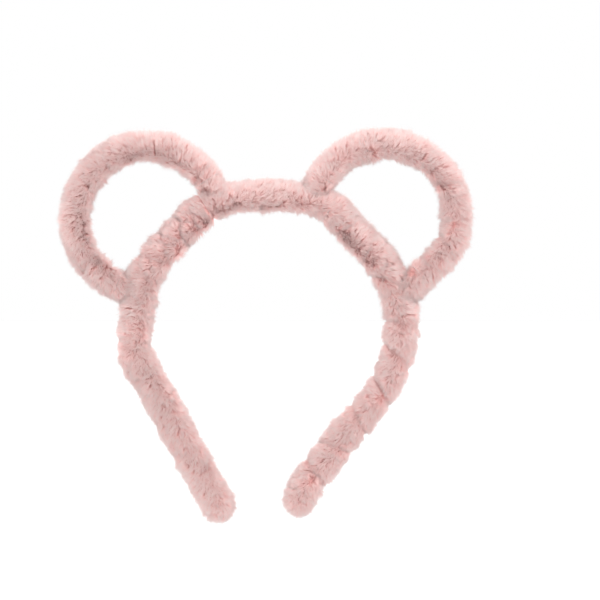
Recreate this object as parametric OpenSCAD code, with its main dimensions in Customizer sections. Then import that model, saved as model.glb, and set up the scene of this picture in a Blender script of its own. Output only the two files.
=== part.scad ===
// Animal-ears headband: a sprung steel band and two bent wire ear loops, padded with
// foam and covered in sewn tubes of plush.
// +Z is up and +X is to the right, seen from the front, looking along +Y.
// The origin is the point of the crown's inner face that rests on the head.
// The outline is drawn flat, then stood up. Each side of the band is a chain of runs
// that starts at the top of the crown. The right side is drawn as a left one and mirrored.

/* [Plush covers] */
// outer radius of the plush tube over the crown, pile included
crown_r = 8.5; // [7.5:0.1:8.8]
// outer radius of the plush tubes over the slopes
slope_r = 9.5; // [8.8:0.1:10]
// outer radius of the plush tubes over the legs
leg_r = 9; // [8:0.1:9.2]
// outer radius of the plush tubes over the ears
ear_r = 8; // [7:0.1:8.2]
// radius of the foam inside the band's plush
band_foam_r = 5.5; // [5:0.1:5.8]
// radius of the foam on the ear wires
ear_foam_r = 5; // [4:0.1:5.2]
// gap between one plush tube and the next, where the seam thread lies
seam_gap = 0.8; // [0.6:0.1:1]

/* [Spring band] */
// width of the steel strip, front to back
strip_w = 6; // [5:0.5:7]
// thickness of the steel strip
strip_t = 0.8; // [0.5:0.1:1]
// radius of the channel through the band's foam
channel_r = 3.8; // [3.75:0.05:4]

/* [Left ear] */
// distance of the left ear's centre to the side of the head's centre line
left_ear_x = 60; // [59:0.5:61]
// height of the left ear's centre above the origin
left_ear_z = -3; // [-4:0.5:-2]
// radius of the left ear's centre line
left_ear_ring = 36; // [35:0.5:37]

/* [Right ear] */
// distance of the right ear's centre to the side of the head's centre line
right_ear_x = 58.5; // [58:0.5:59.5]
// height of the right ear's centre above the origin
right_ear_z = -2; // [-3:0.5:-1]
// radius of the right ear's centre line, over its top
right_ear_ring = 36.5; // [36:0.5:37.5]
// radius of the tighter bend at the ear's outer side
right_ear_bend = 30; // [29:0.5:31]
// angle of that bend
right_ear_bend_turn = 48; // [44:1:52]
// angle round the ear of the seam near its inner root
right_ear_seam = 76; // [72:1:80]

/* [Ear wires] */
// diameter of the ear wire
wire_d = 2; // [1.6:0.1:2.2]
// radius of the wire's bends beside the band
wire_bend = 6; // [5:0.5:6.5]
// outer radius of the bindings that hold the wires to the strip
binding_r = 3.7; // [3.6:0.05:3.7]
// length of each binding
binding_len = 9; // [7:0.5:10]

/* [Tips and thread] */
// length of the rubber cap on each end of the strip
cap_len = 12; // [10:0.5:13]
// width of the cap
cap_w = 7; // [6.8:0.1:7.2]
// thickness of the cap
cap_t = 2.4; // [2:0.1:2.6]
// diameter of the sewing thread
thread_d = 0.6; // [0.4:0.1:0.6]

/* [Flex] */
// how far a leg can spring outward from rest, in degrees
flex_out = 25; // [15:1:26]
// how far a leg can spring inward from rest, in degrees
flex_in = 5; // [2:1:6]

/* [Hidden] */
$fn = 64;

// each run is [length, turn]: the outline turns down and inward where turn is positive
CROWN_RUNS = [[[17, 7], [14, 24]], [[19, 8], [14, 27]]];
SLOPE_RUNS = [
    [[6, 16], [28, 0], [24, 35], [5, 0]],
    [[4, 12], [28, 0], [24, 29], [9, 6]],
];
LEG_RUNS = [
    [[16, 0], [8, 37], [73, 0], [cap_len, 0]],
    [[2, 4], [45, 45], [49, -3], [cap_len, -23]],
];
// each ear starts inside the crown at this angle of its ring, and the left one ends
// inside the shoulder at this one
EAR_START = 13;
LEFT_EAR_END = 265;
// the right ear's straight tail runs this far into the shoulder
right_ear_tail = 27;
// angles of the ring, and length of the tail, at which the ears' root seams lie
UPPER_SEAM = 32.5;
LEFT_LOWER_SEAM = 246;
RIGHT_LOWER_SEAM = 10.5;
LEFT = 0;
RIGHT = 1;
PLUSH = [0.86, 0.71, 0.7];
FOAM = [0.96, 0.95, 0.9];
STEEL = [0.62, 0.64, 0.67];
TUBING = [0.1, 0.1, 0.11];
RUBBER = [0.8, 0.78, 0.74];
THREAD = [0.72, 0.55, 0.55];
fit = 0.15;                          // clearance between one piece and the next
wire_r = wire_d / 2;
wire_offset = strip_t / 2 + wire_r + 0.05;
sleeve_bore = band_foam_r + 0.1;     // plush over foam on the band
ear_bore = ear_foam_r + 0.1;         // plush over foam on the ears
seam_ring_r = 6.3;
thread_r = thread_d / 2;
groove_r = seam_ring_r - thread_r - 0.1;
cut_r = 12;                          // radius of the cuts across a tube
knot_r = 1.2;
knot_depth = 2.5;
cap_end = 2;                         // solid end of the cap, past the strip
binding_wall = 0.5;
swing_gap = 0.3;                     // clearance at the pivots of the legs
lap = 0.3;                           // how far a run laps over the next one
lap_grow = 0.02;                     // and how much thicker it is

function rad(a) = a * PI / 180;
function degrees(a) = a * 180 / PI;

// the place and heading after one run: a place is [x, y, heading]
function run_end(p, run) =
    abs(run[1]) < 0.01
        ? [p[0] + run[0] * cos(p[2]), p[1] + run[0] * sin(p[2]), p[2]]
        : let (r = run[0] / rad(run[1]), h = p[2] + run[1])
          [p[0] + r * (sin(h) - sin(p[2])), p[1] - r * (cos(h) - cos(p[2])), h];

// the place where run n of a chain starts, and where the whole chain ends
function place_at(p, runs, n, i = 0) =
    i < n ? place_at(run_end(p, runs[i]), runs, n, i + 1) : p;
function path_end(p, runs) = place_at(p, runs, len(runs));

// a tube of the child's section along one run, begun and ended a little early and late
module run_tube(p, run, early, late) {
    r = abs(run[1]) < 0.01 ? 0 : abs(run[0] / rad(run[1]));
    bend = sign(run[1]);
    if (r == 0)
        translate([p[0], p[1], 0]) rotate([0, 0, p[2]])
            translate([-early, 0, 0]) rotate([90, 0, 90])
                linear_extrude(run[0] + early + late) children();
    else
        translate([p[0] - bend * r * sin(p[2]), p[1] + bend * r * cos(p[2]), 0])
            rotate([0, 0, bend > 0
                ? p[2] - 90 - degrees(early / r)
                : p[2] + 90 + run[1] - degrees(late / r)])
                rotate_extrude(angle = abs(run[1]) + degrees((early + late) / r))
                    translate([r, 0]) children();
}

// a tube along a chain of runs. Every second run is a hair thicker, by $grow, and laps
// over the ends of its neighbours, so that the runs make one solid. lead and trail say
// that the first and the last run lap over something as well.
module path_tube(p, runs, parity = 0, lead = false, trail = false) {
    last = len(runs) - 1;
    for (i = [0:last]) {
        odd = (i + parity) % 2;
        $grow = odd * lap_grow;
        run_tube(place_at(p, runs, i), runs[i],
            i > 0 || lead ? odd * lap : 0, i < last || trail ? odd * lap : 0)
            children();
    }
}

// everything is drawn flat and stood up: y becomes height, z becomes the front
module stand(side) {
    rotate([90, 0, 0]) mirror([side == RIGHT ? 1 : 0, 0, 0]) children();
}

module at_place(p) {
    translate([p[0], p[1], 0]) rotate([0, 0, p[2]]) rotate([0, 90, 0]) children();
}

// the sections that are swept along the runs
module disc_section(r) {
    circle(r = r + $grow);
}

module ring_section(inner, outer) {
    difference() {
        circle(r = outer + $grow);
        circle(r = inner - $grow);
    }
}

module strip_section(thickness, width) {
    square([thickness + $grow, width + $grow], center = true);
}

// ---- places along the band ----
function crown_start(side) = [0, crown_r, 180];
function slope_start(side) = path_end(crown_start(side), CROWN_RUNS[side]);
function straight_start(side) = run_end(slope_start(side), SLOPE_RUNS[side][0]);
function leg_start(side) = path_end(slope_start(side), SLOPE_RUNS[side]);
function tip_place(side) = path_end(leg_start(side), LEG_RUNS[side]);
function last_run(side) = LEG_RUNS[side][len(LEG_RUNS[side]) - 1];
function leg_runs_to_cap(side) = [for (i = [0:len(LEG_RUNS[side]) - 2]) LEG_RUNS[side][i]];
function cap_start(side) = path_end(leg_start(side), leg_runs_to_cap(side));
// the part of a run that a given length covers
function part_run(run, length) = [length, run[1] * length / run[0]];

// the round outline of the plush over the crown and slope, a little larger, which trims
// the ears that are sewn to it
module band_envelope(side) {
    path_tube(crown_start(side), CROWN_RUNS[side]) disc_section(crown_r + fit);
    path_tube(slope_start(side), SLOPE_RUNS[side], 1, true) disc_section(slope_r + fit);
}

// ---- the ears' centre lines ----
function ear_centre(side) =
    side == LEFT ? [-left_ear_x, left_ear_z] : [-right_ear_x, right_ear_z];
function ear_ring(side) = side == LEFT ? left_ear_ring : right_ear_ring;
function arc_run(r, turn) = [r * rad(turn), turn];
function on_ring(side, angle) =
    let (c = ear_centre(side), r = ear_ring(side))
    [c[0] + r * cos(angle), c[1] + r * sin(angle), angle + 90];
// the ears' plush and foam start inside the crown and end inside the shoulder
function ear_runs(side) =
    side == LEFT
        ? [arc_run(left_ear_ring, LEFT_EAR_END - EAR_START)]
        : [arc_run(right_ear_ring, 180 - EAR_START),
           arc_run(right_ear_bend, right_ear_bend_turn),
           [right_ear_tail, 0]];

// ---- the ear wires: a closed loop that follows the ring and lies along the strip ----
// the strip's straight stretch runs up toward the crown at this angle
function up_slope(side) = straight_start(side)[2] - 180;
// how far the ear's centre stands off the line that the wire follows beside the strip
function wire_drop(side) =
    let (p = straight_start(side), c = ear_centre(side))
    (c[0] - p[0]) * sin(p[2]) - (c[1] - p[1]) * cos(p[2]) - wire_offset;
function foot_angle(side) =
    asin((wire_drop(side) - wire_bend) / (ear_ring(side) - wire_bend));
function foot_reach(side) = (ear_ring(side) - wire_bend) * cos(foot_angle(side));

// the right ear's tight bend runs on in a straight tail: how far round it turns to meet
// the strip, where the bend ends across and along the strip, and how long the tail is
tail_lean = right_ear_bend_turn - up_slope(RIGHT);
tail_turn = 90 - tail_lean;
bend_x = right_ear_bend * cos(180 + right_ear_bend_turn) - (right_ear_ring - right_ear_bend);
bend_y = right_ear_bend * sin(180 + right_ear_bend_turn);
bend_along = bend_x * cos(up_slope(RIGHT)) + bend_y * sin(up_slope(RIGHT));
bend_across = bend_y * cos(up_slope(RIGHT)) - bend_x * sin(up_slope(RIGHT));
tail_len = (bend_across + wire_drop(RIGHT) - wire_bend * (1 - cos(tail_turn))) / cos(tail_lean);
tail_foot = bend_along + tail_len * sin(tail_lean) + wire_bend * sin(tail_turn);

function lower_foot(side) = side == LEFT ? -foot_reach(side) : tail_foot;
function wire_start(side) =
    let (g = up_slope(side), c = ear_centre(side), a = lower_foot(side), d = wire_drop(side))
    [c[0] + a * cos(g) + d * sin(g), c[1] + a * sin(g) - d * cos(g), g];
function wire_runs(side) =
    let (g = up_slope(side), foot = foot_angle(side))
    side == LEFT
        ? [[2 * foot_reach(side), 0],
           arc_run(wire_bend, 90 - foot),
           arc_run(left_ear_ring, 180 + 2 * foot),
           arc_run(wire_bend, 90 - foot)]
        : [[foot_reach(side) - tail_foot, 0],
           arc_run(wire_bend, 90 - foot),
           arc_run(right_ear_ring, 180 - g + foot),
           arc_run(right_ear_bend, right_ear_bend_turn),
           [tail_len, 0],
           arc_run(wire_bend, tail_turn)];

module wire_loop(side, r) {
    path_tube(wire_start(side), wire_runs(side), 0, true, true) disc_section(r);
}

// ---- steel, tubing and rubber ----
module spring_band() {
    color(STEEL)
        for (side = [LEFT, RIGHT])
            stand(side)
                path_tube(crown_start(side), concat(CROWN_RUNS[side], SLOPE_RUNS[side],
                    leg_runs_to_cap(side), [part_run(last_run(side), cap_len - cap_end)]),
                    side, true)
                    strip_section(strip_t, strip_w);
}

module tip_cap(side) {
    color(RUBBER) stand(side) difference() {
        path_tube(cap_start(side), [last_run(side)])
            strip_section(cap_t, cap_w);
        path_tube(cap_start(side), [part_run(last_run(side), cap_len - cap_end + fit)])
            strip_section(strip_t + fit, strip_w + fit);
    }
}

module ear_wire(side) {
    color(STEEL) stand(side) wire_loop(side, wire_r);
}

// the bindings stand a quarter and three quarters of the way down the straight stretch
module binding(side, share) {
    straight = SLOPE_RUNS[side][1];
    color(TUBING) stand(side)
        path_tube(run_end(straight_start(side), [straight[0] * share - binding_len / 2, 0]),
            [[binding_len, 0]])
            ring_section(binding_r - binding_wall, binding_r);
}

// ---- foam ----
module crown_foam() {
    color(FOAM) difference() {
        for (side = [LEFT, RIGHT])
            stand(side)
                path_tube(crown_start(side), concat(CROWN_RUNS[side], SLOPE_RUNS[side]),
                    side, true)
                    ring_section(channel_r, band_foam_r);
        for (side = [LEFT, RIGHT])
            stand(side) wire_loop(side, wire_r + fit);
    }
}

// what a leg's top loses, so that it can swing outward and inward about its pivot
module swing_room(side) {
    p = leg_start(side);
    reach = 2 * slope_r;
    out_side = swing_gap + reach * tan(flex_out + 1);
    in_side = swing_gap + reach * tan(flex_in + 1);
    translate([p[0], p[1], 0]) rotate([0, 0, p[2]])
        linear_extrude(2 * reach, center = true)
            polygon([[-reach, -reach], [out_side, -reach], [swing_gap, 0],
                     [in_side, reach], [-reach, reach]]);
}

// a leg's outline has a rounded end
module round_leg(side, r) {
    path_tube(leg_start(side), LEG_RUNS[side]) disc_section(r);
    at_place(tip_place(side)) sphere(r = r);
}

module leg_foam(side) {
    color(FOAM) stand(side) difference() {
        round_leg(side, band_foam_r);
        path_tube(leg_start(side), LEG_RUNS[side]) disc_section(channel_r);
        at_place(tip_place(side)) cylinder(r = channel_r - lap_grow, h = 2 * lap, center = true);
        swing_room(side);
    }
}

module ear_foam(side) {
    color(FOAM) stand(side) difference() {
        path_tube(on_ring(side, EAR_START), ear_runs(side))
            disc_section(ear_foam_r);
        wire_loop(side, wire_r + fit);
        band_envelope(side);
    }
}

// ---- seams: a gap right through between two tubes, or a groove round one ----
module seam_cut(place) {
    at_place(place) cylinder(r = cut_r, h = seam_gap, center = true);
}

module seam_groove(place) {
    at_place(place) difference() {
        cylinder(r = cut_r, h = seam_gap, center = true);
        cylinder(r = groove_r, h = 2 * seam_gap, center = true);
    }
}

module seam_thread(side, place) {
    color(THREAD) stand(side) at_place(place)
        rotate_extrude() translate([seam_ring_r, 0]) circle(r = thread_r);
}

function mid_seam() = on_ring(RIGHT, right_ear_seam);
function upper_seam(side) = on_ring(side, UPPER_SEAM);
function lower_seam(side) =
    side == LEFT
        ? on_ring(LEFT, LEFT_LOWER_SEAM)
        : path_end(on_ring(RIGHT, 180),
              [arc_run(right_ear_bend, right_ear_bend_turn), [RIGHT_LOWER_SEAM, 0]]);

// ---- plush ----
module crown_sleeve() {
    color(PLUSH) difference() {
        for (side = [LEFT, RIGHT])
            stand(side) path_tube(crown_start(side), CROWN_RUNS[side], side, true)
                ring_section(sleeve_bore, crown_r);
        for (side = [LEFT, RIGHT])
            stand(side) {
                wire_loop(side, wire_r + fit);
                seam_cut(slope_start(side));
            }
    }
}

module slope_sleeve(side) {
    color(PLUSH) stand(side) difference() {
        path_tube(slope_start(side), SLOPE_RUNS[side]) ring_section(sleeve_bore, slope_r);
        wire_loop(side, wire_r + fit);
        seam_cut(slope_start(side));
    }
}

module leg_sleeve(side) {
    color(PLUSH) stand(side) difference() {
        round_leg(side, leg_r);
        round_leg(side, sleeve_bore);
        at_place(tip_place(side)) translate([0, 0, leg_r - knot_depth])
            cylinder(r = knot_r + fit, h = 2 * knot_depth);
        swing_room(side);
    }
}

// an ear's plush is a tube that is trimmed to the band and creased where it is sewn on
module ear_tube(side, start, runs) {
    color(PLUSH) stand(side) difference() {
        path_tube(start, runs) ring_section(ear_bore, ear_r);
        band_envelope(side);
        children();
    }
}

module left_ear_sleeve() {
    ear_tube(LEFT, on_ring(LEFT, EAR_START), ear_runs(LEFT)) {
        seam_groove(upper_seam(LEFT));
        seam_groove(lower_seam(LEFT));
    }
}

module right_ear_root_sleeve() {
    ear_tube(RIGHT, on_ring(RIGHT, EAR_START),
        [arc_run(right_ear_ring, right_ear_seam - EAR_START)]) {
        seam_groove(upper_seam(RIGHT));
        seam_cut(mid_seam());
    }
}

module right_ear_sleeve() {
    ear_tube(RIGHT, mid_seam(),
        concat([arc_run(right_ear_ring, 180 - right_ear_seam)],
            [for (i = [1:2]) ear_runs(RIGHT)[i]])) {
        seam_cut(mid_seam());
        seam_groove(lower_seam(RIGHT));
    }
}

// ---- the knot of the thread that draws each leg's tip closed ----
module tip_gather(side) {
    color(THREAD) stand(side) at_place(tip_place(side))
        translate([0, 0, leg_r - knot_depth + knot_r + 0.05]) sphere(r = knot_r);
}

module left_tip_cap() tip_cap(LEFT);
module right_tip_cap() tip_cap(RIGHT);
module left_ear_wire() ear_wire(LEFT);
module right_ear_wire() ear_wire(RIGHT);
module left_upper_binding() binding(LEFT, 1 / 4);
module left_lower_binding() binding(LEFT, 3 / 4);
module right_upper_binding() binding(RIGHT, 1 / 4);
module right_lower_binding() binding(RIGHT, 3 / 4);
module left_leg_foam() leg_foam(LEFT);
module right_leg_foam() leg_foam(RIGHT);
module left_ear_foam() ear_foam(LEFT);
module right_ear_foam() ear_foam(RIGHT);
module left_slope_sleeve() slope_sleeve(LEFT);
module right_slope_sleeve() slope_sleeve(RIGHT);
module left_leg_sleeve() leg_sleeve(LEFT);
module right_leg_sleeve() leg_sleeve(RIGHT);
module left_crown_seam() seam_thread(LEFT, slope_start(LEFT));
module right_crown_seam() seam_thread(RIGHT, slope_start(RIGHT));
module left_ear_upper_seam() seam_thread(LEFT, upper_seam(LEFT));
module left_ear_lower_seam() seam_thread(LEFT, lower_seam(LEFT));
module right_ear_upper_seam() seam_thread(RIGHT, upper_seam(RIGHT));
module right_ear_lower_seam() seam_thread(RIGHT, lower_seam(RIGHT));
module right_ear_mid_seam() seam_thread(RIGHT, mid_seam());
module left_tip_gather() tip_gather(LEFT);
module right_tip_gather() tip_gather(RIGHT);

spring_band();
left_tip_cap();
right_tip_cap();
left_ear_wire();
right_ear_wire();
left_upper_binding();
left_lower_binding();
right_upper_binding();
right_lower_binding();
crown_foam();
left_leg_foam();
right_leg_foam();
left_ear_foam();
right_ear_foam();
crown_sleeve();
left_slope_sleeve();
right_slope_sleeve();
left_leg_sleeve();
right_leg_sleeve();
left_ear_sleeve();
right_ear_sleeve();
right_ear_root_sleeve();
left_crown_seam();
right_crown_seam();
left_ear_upper_seam();
left_ear_lower_seam();
right_ear_upper_seam();
right_ear_lower_seam();
right_ear_mid_seam();
left_tip_gather();
right_tip_gather();
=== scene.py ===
"""Animal-ears headband: plush backings, their pile, and what lies inside them."""

import math

import bpy
import numpy as np
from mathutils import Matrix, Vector


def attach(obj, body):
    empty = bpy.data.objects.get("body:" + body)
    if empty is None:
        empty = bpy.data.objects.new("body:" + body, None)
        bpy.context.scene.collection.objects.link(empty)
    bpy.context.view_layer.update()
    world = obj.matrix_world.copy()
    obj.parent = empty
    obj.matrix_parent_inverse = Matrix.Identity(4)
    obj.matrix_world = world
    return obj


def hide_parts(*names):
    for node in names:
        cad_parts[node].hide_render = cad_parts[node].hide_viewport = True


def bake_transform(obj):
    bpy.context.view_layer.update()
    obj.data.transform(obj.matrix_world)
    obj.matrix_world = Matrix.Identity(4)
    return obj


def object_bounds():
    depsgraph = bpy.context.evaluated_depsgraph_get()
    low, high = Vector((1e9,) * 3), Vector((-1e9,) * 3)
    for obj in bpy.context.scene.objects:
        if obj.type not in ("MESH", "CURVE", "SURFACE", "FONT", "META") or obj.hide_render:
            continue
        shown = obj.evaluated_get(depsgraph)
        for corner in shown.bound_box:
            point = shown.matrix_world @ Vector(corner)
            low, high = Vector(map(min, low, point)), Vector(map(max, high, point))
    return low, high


bl_info = {
    "name": "Animal ears headband",
    "version": (1, 0, 0),
    "blender": (4, 5, 0),
    "location": "View3D > Sidebar > Headband",
    "description": "Builds the plush headband's pieces, finishes and stage",
    "category": "Object",
}

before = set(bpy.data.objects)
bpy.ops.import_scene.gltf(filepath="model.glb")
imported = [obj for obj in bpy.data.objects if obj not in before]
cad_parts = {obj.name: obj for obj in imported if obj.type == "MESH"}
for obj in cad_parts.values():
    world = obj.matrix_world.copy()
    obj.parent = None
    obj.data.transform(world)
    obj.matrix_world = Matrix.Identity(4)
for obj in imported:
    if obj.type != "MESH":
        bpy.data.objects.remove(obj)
CAD_BOX = [list(corner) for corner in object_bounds()]
MM = 0.001
FRONT = np.array([0.0, -1.0, 0.0])
UV_NAME = "OFBake"

# Each side of the band is a chain of runs from the top of the crown down to the tip.
# A run is (length, turn) in millimetres and degrees: it turns down and inward where
# turn is positive. The right side is drawn as a left one and mirrored.
CROWN_TOP = (0.0, 8.5, 180.0)
LEFT_RUNS = [(17, 7), (14, 24), (6, 16), (28, 0), (24, 35), (5, 0),
             (16, 0), (8, 37), (73, 0), (12, 0)]
RIGHT_RUNS = [(19, 8), (14, 27), (4, 12), (28, 0), (24, 29), (9, 6),
              (2, 4), (45, 45), (49, -3), (12, -23)]
LEFT_SEAM, LEFT_PIVOT, LEFT_TIP = 31, 94, 203
RIGHT_SEAM, RIGHT_PIVOT, RIGHT_TIP = 33, 98, 206
CAP_END = 2        # the spring band ends this far from the tip
EAR_START = 13     # degrees round the ear's ring at which its chain starts
LEFT_EAR = dict(centre=(-60, -3), ring=36, turn=252)
RIGHT_EAR = dict(centre=(-58.5, -2), ring=36.5, turn=167, bend=(30, 48), tail=27)
RIGHT_EAR_MID_SEAM = 40.1      # where the seam across the right ear lies along it
LEFT_LEG_SPLIT, RIGHT_LEG_SPLIT = 150, 153      # a leg's pile is in two pieces, met here
LEFT_EAR_SPLIT, RIGHT_EAR_SPLIT = 79, 100


# ---------------------------------------------------------------- centre lines

class Chain:
    """A centre line of runs in the flat outline, with its outward direction."""

    def __init__(self, start, runs, mirrored):
        self.side = -1.0 if mirrored else 1.0
        self.places, self.starts, self.runs = [start], [0.0], runs
        for length, turn in runs:
            x, y, heading = self.step(self.places[-1], length, turn, length)
            self.places.append((float(x), float(y), float(heading)))
            self.starts.append(self.starts[-1] + length)
        self.length = self.starts[-1]

    @staticmethod
    def step(place, length, turn, along):
        x, y, h = place
        bend = math.radians(turn) / length
        h0 = math.radians(h)
        h1 = h0 + bend * along
        if abs(turn) < 0.01:
            return x + along * np.cos(h0), y + along * np.sin(h0), h + 0 * along
        return (x + (np.sin(h1) - np.sin(h0)) / bend,
                y - (np.cos(h1) - np.cos(h0)) / bend, np.degrees(h1))

    def at(self, s):
        """Centres, tangents and outward directions, in metres, at lengths s in mm."""
        s = np.asarray(s, float)
        x, y, h = np.zeros_like(s), np.zeros_like(s), np.zeros_like(s)
        last = len(self.runs) - 1
        index = np.clip(np.searchsorted(self.starts, s, side="right") - 1, 0, last)
        for i, (length, turn) in enumerate(self.runs):
            m = index == i
            x[m], y[m], h[m] = self.step(self.places[i], length, turn,
                                         s[m] - self.starts[i])
        h = np.radians(h)
        flat = np.zeros_like(s)
        centre = np.stack([self.side * x, flat, y], -1) * MM
        tangent = np.stack([self.side * np.cos(h), flat, np.sin(h)], -1)
        outward = np.stack([self.side * np.sin(h), flat, -np.cos(h)], -1)
        return centre, tangent, outward


class Band:
    """The whole band: lengths are negative on the left side and positive on the right."""

    def __init__(self):
        self.left = Chain(CROWN_TOP, LEFT_RUNS, False)
        self.right = Chain(CROWN_TOP, RIGHT_RUNS, True)

    def at(self, s):
        s = np.asarray(s, float)
        cl, tl, ol = self.left.at(np.maximum(-s, 0))
        cr, tr, outr = self.right.at(np.maximum(s, 0))
        left = (s < 0)[..., None]
        return (np.where(left, cl, cr), np.where(left, -tl, tr),
                np.where(left, ol, outr))


def ear_chain(ear, mirrored):
    (x, y), r = ear["centre"], ear["ring"]
    a = math.radians(EAR_START)
    runs = [(r * math.radians(ear["turn"]), ear["turn"])]
    if "bend" in ear:
        bend_r, bend_turn = ear["bend"]
        runs += [(bend_r * math.radians(bend_turn), bend_turn), (ear["tail"], 0)]
    return Chain((x + r * math.cos(a), y + r * math.sin(a), EAR_START + 90), runs, mirrored)


BAND = Band()
LEFT_EAR_LINE = ear_chain(LEFT_EAR, False)
RIGHT_EAR_LINE = ear_chain(RIGHT_EAR, True)


# ---------------------------------------------------------------- soft noise

WAVE_TERMS = 14


def waves(seed, points, size):
    """A smooth random field of about unit spread, with features of the given size."""
    rng = np.random.default_rng(seed)
    k = rng.normal(size=(WAVE_TERMS, 3)) * (2 * math.pi / size) * 0.45
    phase = rng.uniform(0, 2 * math.pi, WAVE_TERMS)
    return np.sin(points @ k.T + phase).sum(1) * math.sqrt(2 / WAVE_TERMS)


# ---------------------------------------------------------------- sleeves

# A gather is (place, slant, middle, spread, depth, width): the crease crosses the tube at
# place, moves along it by slant from the front to the side, and is strongest at the angle
# middle, over spread degrees. An angle of 0 is the front and 90 the outer side.
LEFT_SLOPE_GATHERS = [
    (-37.5, -5, -15, 42, 1.6, 1.1), (-48.5, 4, -25, 40, 1.5, 1.1),
    (-57.5, -4, 5, 38, 1.4, 1.0), (-70, 4, 0, 36, 1.0, 1.1),
    (-28, -5, 0, 150, 0.5, 2.4), (-38.5, 3, -40, 80, 0.8, 1.4),
    (-43, -3, 10, 90, 0.9, 1.4), (-47.5, 4, -20, 100, 0.9, 1.5),
    (-54, -3, 15, 90, 0.8, 1.4), (-59.5, 4, -10, 110, 0.8, 1.6),
    (-67, -3, 0, 100, 0.7, 1.8), (-75, 4, 10, 90, 0.5, 2.0),
    (-52, 3, 180, 90, 0.7, 1.8), (-64, -3, 170, 90, 0.7, 1.8),
]
RIGHT_SLOPE_GATHERS = [
    (46, 3, -60, 80, 0.5, 1.8), (60, -3, -50, 80, 0.6, 1.8),
    (81.5, 9.5, 0, 130, 1.1, 1.8), (70, 4, 180, 90, 0.6, 2.0),
    (93, -3, 150, 90, 0.6, 2.0),
]
RIGHT_LEG_GATHERS = [
    (101.5, 2, -20, 110, 0.6, 2.2), (118, 5, -10, 130, 1.25, 2.1),
    (137, 4.5, -10, 130, 1.0, 2.2), (155.5, 3.5, 0, 140, 0.9, 2.1),
    (173.5, -3, 0, 140, 0.8, 2.2), (190.5, 3, 10, 140, 1.2, 2.0),
    (127, -4, 180, 90, 0.8, 1.8), (146, 4, 180, 90, 0.8, 1.8),
    (165, -4, 180, 90, 0.8, 1.8), (182, 4, 180, 90, 0.8, 1.8),
]
LEFT_LEG_GATHERS = [
    (-101, 2, 60, 90, 0.5, 2.2), (-113, 3, 70, 90, 0.8, 2.0),
    (-130, 2, 60, 70, 0.4, 2.2), (-150, -2, 50, 70, 0.4, 2.4),
    (-172, 2, 60, 70, 0.4, 2.4),
]
RIGHT_EAR_GATHERS = [
    (RIGHT_EAR_MID_SEAM, 0, 0, 400, 0.5, 0.9), (88, 3, -60, 90, 0.5, 1.8),
    (106, -2, -70, 100, 0.7, 1.8), (122, 4, -30, 90, 0.5, 1.8),
    (134, -3, 0, 90, 0.5, 1.8),
]
LEFT_EAR_GATHERS = [
    (16, 2, -60, 100, 0.6, 1.8), (128, 2, 20, 80, 0.4, 2.2),
    (10, -2, 0, 120, 0.5, 1.8),
]


class Sleeve:
    """One sewn plush tube: where it runs, how thick it is and how its pile lies."""

    def __init__(self, name, line, start, end, radius, node, **more):
        self.name, self.line, self.start, self.end = name, line, start, end
        self.radius, self.node = radius, node
        self.gathers = more.get("gathers", [])
        self.tip = more.get("tip")            # the length at which a rounded end begins
        self.parting = more.get("parting", 0)
        self.nap = more.get("nap", 0.0)       # how far the pile leans along the tube
        self.pile = more.get("pile", 1.0)
        self.body = more.get("body", "crown")
        self.spans = more.get("spans", [("", start, end)])
        self.seed = more["seed"]


def crease_depth(sleeve, s, angle):
    """How far the gathers draw the backing in, and which way the pile leans off them."""
    depth, lean = np.zeros_like(s), np.zeros_like(s)
    for place, slant, middle, spread, deep, width in sleeve.gathers:
        away = s - (place + slant * np.sin(angle))
        turn = (np.degrees(angle) - middle + 180) % 360 - 180
        reach = np.exp(-(turn / spread) ** 4)
        bite = np.exp(-(away / width) ** 2) * reach
        depth += deep * bite
        lean += np.tanh(away / width) * np.exp(-(away / (2.2 * width)) ** 2) * reach
    return depth, lean


# The cloth's own unevenness: each a seed, the size of its swells and their height, in mm.
CLOTH_SWELLS = ((5, 14, 0.28), (6, 6, 0.18))
TIP_CLOSED = 0.03         # share of the radius that is left at a rounded end


def backing_points(sleeve, s, angle, floor_r):
    """Points of the backing cloth, in metres, at lengths s (mm) and angles (radians)."""
    tip, r = sleeve.tip, sleeve.radius
    if tip is None:
        centre, tangent, outward = sleeve.line.at(s)
        round_off = np.ones_like(s)
    else:
        sign = math.copysign(1, tip)
        past = np.clip(np.abs(s) - abs(tip), 0, None) / r
        centre, tangent, outward = sleeve.line.at(sign * np.minimum(np.abs(s), abs(tip)))
        past = np.minimum(past, math.pi / 2)
        centre = centre + sign * tangent * (r * np.sin(past) * MM)[:, None]
        round_off = np.cos(past)
    radial = FRONT * np.cos(angle)[:, None] + outward * np.sin(angle)[:, None]
    depth, _ = crease_depth(sleeve, s, angle)
    swell = sum(height * waves(seed, centre / MM + radial * r, size)
                for seed, size, height in CLOTH_SWELLS)
    tube_r = np.maximum(r + swell - depth, floor_r) * np.maximum(round_off, TIP_CLOSED)
    return centre + radial * (tube_r * MM)[:, None]


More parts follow.
